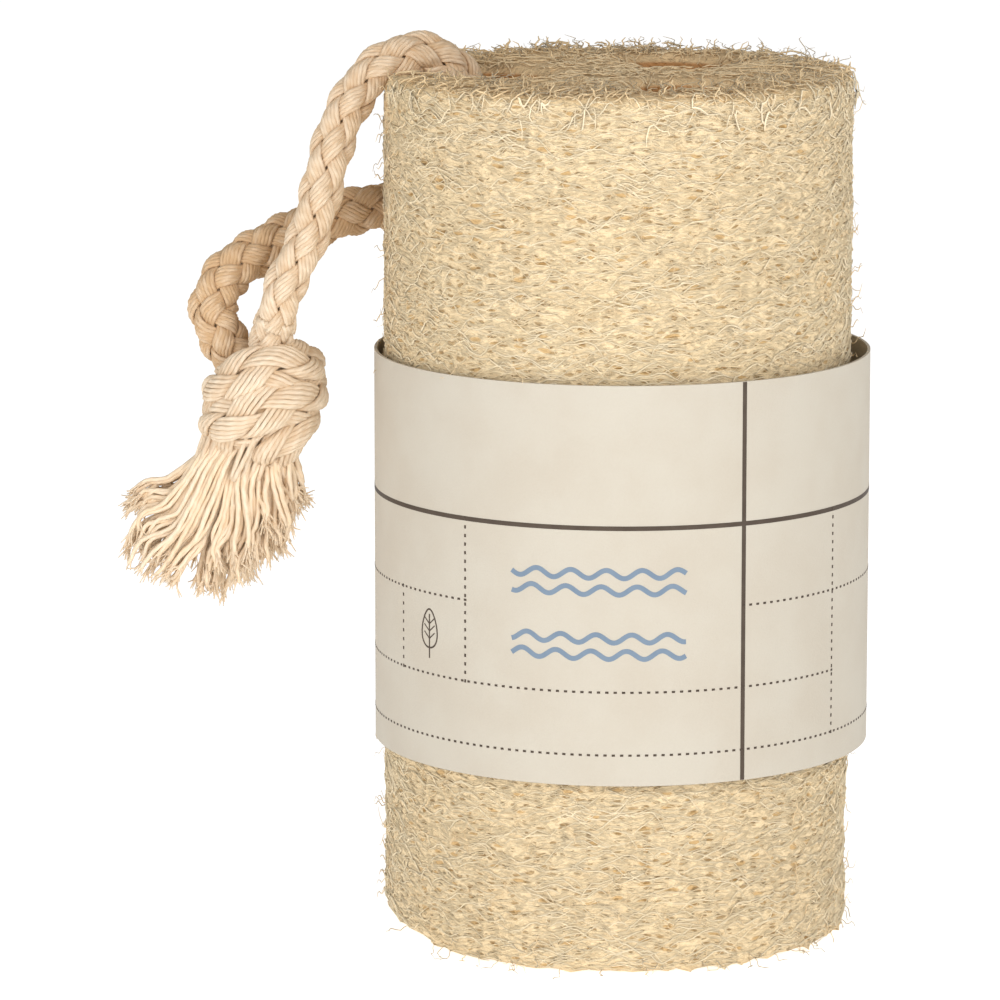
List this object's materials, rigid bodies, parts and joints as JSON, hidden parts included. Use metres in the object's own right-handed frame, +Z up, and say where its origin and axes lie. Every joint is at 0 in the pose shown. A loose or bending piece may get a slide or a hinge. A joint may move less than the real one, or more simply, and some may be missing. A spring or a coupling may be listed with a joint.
{
  "type": "natural loofah sponge",
  "caption": "Upright cylindrical loofah sponge with seed channels right through, a card band round its middle and a braided cotton hanging loop ending in a knot and tassel.",
  "frame": {"origin": "middle of the sponge's foot, on the surface it stands on", "axes": "+Z up along the sponge's axis, -Y to the front, +X to the right, away from the rope"},
  "size_m": [0.1284, 0.0865, 0.1569],
  "materials": {
    "loofah_fibre": "matte",
    "band_card": "matte",
    "cotton_rope": "matte",
    "cotton_yarn": "matte"
  },
  "bodies": {
    "root": {"loofah_sponge": "loofah_fibre", "paper_band": "band_card", "rope_loop": "cotton_rope", "rope_knot": "cotton_rope", "rope_tassel": "cotton_yarn"}
  },
  "joints": []
}
